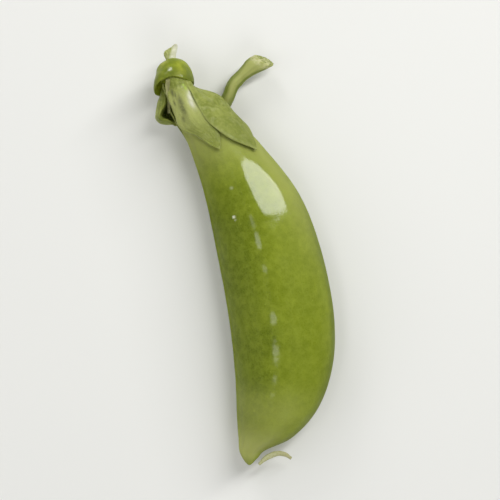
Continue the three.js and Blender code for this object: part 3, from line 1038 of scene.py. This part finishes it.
# The middle of the stalk in its own box: out of the receptacle's underside, hooked below
# the calyx, and up past the right sepal to the torn end.
STALK_COURSE = [
    (0.065, 0.782, 1.298), (0.038, 0.814, 0.980), (0.018, 0.782, 0.661), (0.050, 0.691, 0.423),
    (0.136, 0.495, 0.252), (0.260, 0.274, 0.230),
    (0.402, 0.104, 0.264), (0.513, 0.104, 0.343), (0.579, 0.248, 0.445), (0.647, 0.464, 0.548),
    (0.764, 0.634, 0.627), (0.862, 0.750, 0.673), (0.978, 0.837, 0.695),
]
TORN_FACE = (-0.2, 0.56, 0.45)  # how the torn end slants, in millimetres for each one
# Rings of the torn end face: share of its radius and height in millimetres.
TORN_CAP = ((0.95, 0.06), (0.86, 0.08), (0.74, 0.02), (0.6, -0.06), (0.45, -0.04), (0.3, 0.0),
            (0.15, 0.03))


def stalk_material(settings):
    """Ribbed, slightly shiny green, painted paler along its upper side as painted light, with
    fibres on the torn end.
    """
    stem = Recipe("stalk_skin", 0.2)
    stem.translucent(0.12, 0.9, (0.8, 1.0, 0.25))
    stem.waxed(0.07, 0.2)
    fibres = stem.patches({"ring_x": 3.4, "ring_y": 3.4, "along": 5.0}, 3.0, 0.32, 0.68)
    shreds = stem.patches(0.45, 3.0, 0.38, 0.62, 0.1, 0.95)
    stem.colour(
        settings.green,
        (fibres, 0.4, settings.pale),
        (stem.patches(1.9, 3.0, 0.35, 0.65), 0.3, settings.green),
        # Painted light: the top of the stalk is painted paler, where it would catch the light.
        ("painted_top_light", 0.9, settings.pale),
        (stem.math("MULTIPLY", shreds, stem.feature("torn")), 1, settings.torn))
    stem.skin({"Roughness": stem.window(stem.feature("torn"), 0.0, 1.0, 0.42, 0.85)})
    stem.relief((fibres, 0.025), (stem.noise(0.2), 0.015))
    return stem.material


class PEAPOD_OT_stalk(Operator):
    """Build the hooked stalk with its flared, torn end"""

    bl_idname = "peapod.stalk"
    bl_label = "Build Stalk"

    def execute(self, context):
        settings = context.scene.pea_stalk
        slim, wide = settings.radius / MM, settings.end_radius / MM

        def radius_at(share, angle):
            flare = slim + (wide - slim) * smooth(0.82, 0.97, share)
            ribs = 0.04 * np.cos(5 * angle + 1.5 * share) + 0.02 * np.cos(9 * angle - 2 * share)
            return flare + ribs + 0.4 * smooth(0.17, 0.08, share)

        course = course_in("stalk", STALK_COURSE)
        points, faces, along, around, core = tube_skin(
            course, rings=220, sides=64, radius_at=radius_at, cap=TORN_CAP)
        end = course.at(1.0)
        away = unit(end - course.at(0.95))
        rim = columns(np.cos(around), np.sin(around), core) * 1.8
        rips = 0.20 * rough(rim, 1.0, 41, 2) * smooth(0.95, 1.0, along)
        slant = np.dot(points - end, TORN_FACE) * smooth(1.0, 0.0, core)
        points = points + away * ((rips - slant) * smooth(0.84, 1.0, along))[:, None]
        lumps = 0.06 * rough(points, 1.6, 42, 2) * (1 - core)
        points = points + unit(points - course.at(along)) * lumps[:, None]
        upward = (points - course.at(along))[:, 2] / slim
        features = {
            "along": along, "ring_x": np.cos(around), "ring_y": np.sin(around),
            "torn": np.maximum(smooth(0.945, 0.99, along), smooth(0.0, 0.05, core)),
            "painted_top_light": smooth(0.62, 0.98, upward) * smooth(0.5, 0.7, along),
        }
        make_piece("stalk_stem", points, faces, stalk_material(settings), "stalk",
                   features)
        return {"FINISHED"}


# ---------------------------------------- dried parts

# The middles of the style and the stamen sheath, each in its own box.
STYLE_COURSE = [
    (0.00, 0.06, 0.25), (0.14, 0.36, 0.31), (0.28, 0.58, 0.35), (0.55, 0.76, 0.52),
    (0.77, 0.62, 0.63), (0.95, 0.16, 0.42),
]
SHEATH_COURSE = [
    (2.80, 1.75, 1.90), (2.36, 0.97, 1.48), (2.50, 0.55, 1.30), (2.10, 0.16, 0.75),
    (1.80, -0.35, 0.36),
]
# The bract's torn edge, from its left end to its right, and its foot, in its own box.
BRACT_EDGE = [
    (-0.05, 0.20), (-0.01, 0.44), (0.24, 0.60), (0.49, 0.70), (0.72, 0.82),
    (0.90, 0.92), (1.05, 0.89), (1.08, 0.62), (0.93, 0.39),
]
BRACT_FOOT = [(0.06, -0.16), (0.80, -0.20)]


def papery_material(name, body, bleached, settings):
    """Thin, dry and fibrous, bleached at its edges."""
    dry = Recipe(name, 0.2, 0.8)
    dry.translucent(0.15, 0.5, (1.0, 0.95, 0.6))
    fibres = dry.patches({"across": 9.0, "along": 1.6}, 4.0, 0.3, 0.7)
    dry.colour(
        body,
        (fibres, 1, bleached),
        ("edge", 0.8, bleached),
        (dry.patches(0.6, 3.0, 0.6, 0.75), 0.35, settings.browned),
        ("green", 0.85, dry.blend(fibres, settings.fresh, settings.papery)))
    dry.relief((fibres, 0.05))
    return dry.material


def thread_material(settings):
    """A dry, cream thread, browned at its free end."""
    thread = Recipe("thread_skin", 0.2, 0.7)
    fibres = thread.patches(0.3, 3.0, 0.3, 0.7, 0.0, 0.4)
    tip = thread.window(thread.feature("along"), 0.3, 1.0, 0.18, 0.45)
    thread.colour(settings.papery, (fibres, 1, settings.bleached), (tip, 1, settings.browned))
    thread.relief((fibres, 0.03))
    return thread.material


def make_sheet(name, node, inner, thickness, shape, material, bleached, green):
    """A papery sheet from its lower layer and its thickness at each point."""
    across, along = blade_grid(*shape)
    features = {"across": across, "along": along, "edge": bleached, "green": green}
    outer = inner + columns(0.0, 0.0, thickness)
    make_piece(name, np.vstack([outer, inner]), blade_faces(*shape), material, node,
               {key: np.tile(value, 2) for key, value in features.items()})


class PEAPOD_OT_dried_parts(Operator):
    """Build the torn bract, the stamen sheath and the dried style"""

    bl_idname = "peapod.dried_parts"
    bl_label = "Build Dried Parts"

    def execute(self, context):
        settings = context.scene.pea_dried
        self.build_bract(
            papery_material("bract_skin", settings.papery, settings.bleached, settings))
        self.build_sheath(
            papery_material("sheath_skin", settings.shaded_papery, settings.papery, settings))
        self.build_style(thread_material(settings))
        return {"FINISHED"}

    def build_bract(self, material):
        """A torn flake that stands on the receptacle: a green lobe and a bleached one."""
        shape = 60, 60
        across, along = blade_grid(*shape)
        low, size = box_of("torn_bract")
        share = (across + 1) / 2
        torn = Course(curve_through(BRACT_EDGE)).at(share)
        foot = np.outer(1 - share, BRACT_FOOT[0]) + np.outer(share, BRACT_FOOT[1])
        tears = columns(across * 4.0, 0.0, 0.0)
        rise = along * (1 + 0.07 * rough(tears, 1.0, 53, 2))
        flat = low[:2] + (foot + (torn - foot) * rise[:, None]) * size[:2]
        height = low[2] + size[2] * 0.4 + 0.4 * along ** 2 - 0.4 * across ** 2
        points = np.column_stack([flat, height])
        points[:, 2] += 0.13 * rough(points, 0.8, 51, 2)
        bleached = smooth(-0.1, 0.45, across + 0.5 * (1 - along))
        green = smooth(0.35, -0.15, across + 0.35 * (1 - along) + 0.3 * rough(tears, 1.0, 55))
        make_sheet("bract_flake", "torn_bract", points, 0.24 - 0.17 * along, shape, material,
                   bleached, green)

    def build_sheath(self, material):
        """A papery strip that hangs in the pocket."""
        shape = 20, 60
        across, along = blade_grid(*shape)
        middle = course_in("stamen_sheath", SHEATH_COURSE).at(along)
        width = 0.30 * (1 - 0.5 * along ** 2)
        points = middle + columns(across * width, 0.0, 0.18 * across ** 2)
        points[:, 2] += 0.10 * rough(points, 0.7, 61, 2)
        points[:, 0] += 0.10 * rough(points, 1.1, 62)
        make_sheet("sheath_strip", "stamen_sheath", points, 0.12 - 0.06 * along, shape, material,
                   0.3 * smooth(0.7, 1.0, np.abs(across)), 0 * along)

    def build_style(self, material):
        """A curled thread, a little flattened, thicker at its free end."""

        def radius_at(share, angle):
            swell = 0.17 + 0.20 * np.sin(math.pi * np.clip(share * 1.05, 0, 1)) ** 0.8
            return (swell + 0.05 * smooth(0.8, 1.0, share)) * (1 + 0.15 * np.cos(2 * angle))

        course = course_in("style", STYLE_COURSE)
        points, faces, along, _, _ = tube_skin(
            course, rings=110, sides=28, radius_at=radius_at)
        points = points + 0.05 * columns(*(rough(points, 0.8, seed) for seed in (71, 72, 73)))
        make_piece("style_thread", points, faces, material, "style",
                   {"along": along})


# ---------------------------------------- the stage

SURROUNDINGS = (0.93, 0.93, 0.92)
LOOK_STRENGTH = 0.88  # of the surroundings, as they look
LIGHT_STRENGTH = 0.22  # of the surroundings, as they light the pod
FLOOR_REACH = 1.5  # metres from its middle to each side

# Soft lamps: name, place, size in metres (level, then upright), power, turn in degrees
# about the lamp's own axis, and whether it leaves a shine.
LAMPS = [
    ("key", (0.241, 0.173, 0.355), (0.070, 0.42), 1.38, -17.1, True),
    ("foot", (0.08, -0.38, 0.38), (0.30, 0.30), 0.42, 0.0, False),
    ("head", (0.00, 0.36, 0.38), (0.30, 0.30), 0.22, 0.0, False),
    ("side", (-0.34, 0.0, 0.30), (0.30, 0.30), 0.25, 0.0, False),
    ("glint_0", (-0.13, 0.04, 0.45), (0.09, 0.10), 0.07, 0.0, True),
    ("glint_1", (-0.14, -0.06, 0.45), (0.09, 0.10), 0.07, 0.0, True),
    ("glint_2", (-0.16, -0.19, 0.45), (0.09, 0.10), 0.07, 0.0, True),
    ("back", (-0.110, 0.397, 0.245), (0.16, 0.16), 0.34, 0.0, True),
]


def looking_rays(tree):
    """1 for a ray that looks at things, straight, in a shine or through something clear."""
    path = tree.nodes.new("ShaderNodeLightPath").outputs
    looking = path["Is Camera Ray"]
    for name in ("Is Glossy Ray", "Is Transmission Ray"):
        either = {0: looking, 1: path[name]}
        looking = add_node(tree, "Math", "Value", either, operation="MAXIMUM")
    return looking


def floor_material(colour):
    """Pale and matt near the pod, and far from it as bright as the surroundings look."""
    floor = Recipe("floor", 0.0, 0.9)
    distance = floor.node("VectorMath", "Value", {0: floor.place}, operation="LENGTH")
    far = floor.window(distance, 0.15, 0.55)
    far = floor.math("MULTIPLY", far, looking_rays(floor.tree))
    floor.colour(colour, (floor.patches(60.0, 2.0, 0.3, 0.7, 0.0, 0.04), 1, (0.7, 0.7, 0.68)),
                 (far, 1, (0.0, 0.0, 0.0)))
    floor.skin({"Emission Color": SURROUNDINGS,
                "Emission Strength": floor.math("MULTIPLY", far, LOOK_STRENGTH)})
    return floor.material


class PEAPOD_OT_stage(Operator):
    """Set the floor, the soft lamps, the pale surroundings and the camera"""

    bl_idname = "peapod.stage"
    bl_label = "Set Stage"

    def execute(self, context):
        settings = context.scene.pea_stage
        low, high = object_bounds()
        middle = (low + high) / 2
        mesh = bpy.data.meshes.new("floor")
        corners = [(x * FLOOR_REACH, y * FLOOR_REACH, low.z)
                   for x, y in ((-1, -1), (1, -1), (1, 1), (-1, 1))]
        mesh.from_pydata(corners, [], [(0, 1, 2, 3)])
        mesh.materials.append(floor_material(settings.floor_colour))
        add_object("floor", mesh)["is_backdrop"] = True
        for lamp in LAMPS:
            self.add_lamp(middle, *lamp)
        self.add_surroundings(context.scene)

        camera = bpy.data.cameras.new("camera")
        camera.lens = settings.lens
        camera.clip_start = 0.01
        holder = add_object("camera", camera)
        holder.location = (middle.x, middle.y, settings.view_height)
        holder.rotation_euler = (0.0, 0.0, -settings.lean)
        context.scene.camera = holder
        context.scene.view_settings.view_transform = "Standard"
        return {"FINISHED"}

    def add_lamp(self, target, name, place, size, power, turn, mirrored):
        lamp = bpy.data.lights.new(name, "AREA")
        lamp.shape = "RECTANGLE"
        lamp.size, lamp.size_y = size
        lamp.energy = power
        holder = add_object(name, lamp)
        holder.location = place
        aim = (target - Vector(place)).to_track_quat("-Z", "Y")
        turned = Quaternion((0.0, 0.0, 1.0), math.radians(turn))
        holder.rotation_euler = (aim @ turned).to_euler()
        holder.visible_glossy = mirrored

    def add_surroundings(self, scene):
        scene.world = bpy.data.worlds.new("studio")
        scene.world.use_nodes = True
        tree = scene.world.node_tree
        strength = add_node(tree, "MapRange", "Result", {
            "Value": looking_rays(tree), "To Min": LIGHT_STRENGTH, "To Max": LOOK_STRENGTH})
        feed(tree, tree.nodes["Background"], {"Color": SURROUNDINGS, "Strength": strength})


# ---------------------------------------- the add-on


class PEAPOD_PT_sidebar(Panel):
    """Lists the steps that build the pod"""

    bl_label = "Pea Pod"
    bl_idname = "PEAPOD_PT_sidebar"
    bl_space_type = "VIEW_3D"
    bl_region_type = "UI"
    bl_category = "Pea Pod"

    def draw(self, context):
        column = self.layout.column()
        for step in STEPS:
            column.operator(step.bl_idname)


SETTINGS = {
    "pea_hull": PodSettings, "pea_calyx": CalyxSettings, "pea_stalk": StalkSettings,
    "pea_dried": DriedSettings, "pea_stage": StageSettings,
}
STEPS = [
    PEAPOD_OT_hull, PEAPOD_OT_receptacle, PEAPOD_OT_sepals, PEAPOD_OT_curled_sepal,
    PEAPOD_OT_stalk, PEAPOD_OT_dried_parts, PEAPOD_OT_stage,
]
CLASSES = [*SETTINGS.values(), *STEPS, PEAPOD_PT_sidebar]


def register():
    for kind in CLASSES:
        bpy.utils.register_class(kind)
    for name, kind in SETTINGS.items():
        setattr(bpy.types.Scene, name, PointerProperty(type=kind))


def unregister():
    for name in SETTINGS:
        delattr(bpy.types.Scene, name)
    for kind in reversed(CLASSES):
        bpy.utils.unregister_class(kind)


def main():
    """Build every piece over the frame."""
    register()
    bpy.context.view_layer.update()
    bpy.ops.peapod.hull()
    bpy.ops.peapod.receptacle()
    bpy.ops.peapod.sepals()
    bpy.ops.peapod.curled_sepal()
    bpy.ops.peapod.stalk()
    bpy.ops.peapod.dried_parts()
    bpy.ops.peapod.stage()


if __name__ == "__main__":
    main()
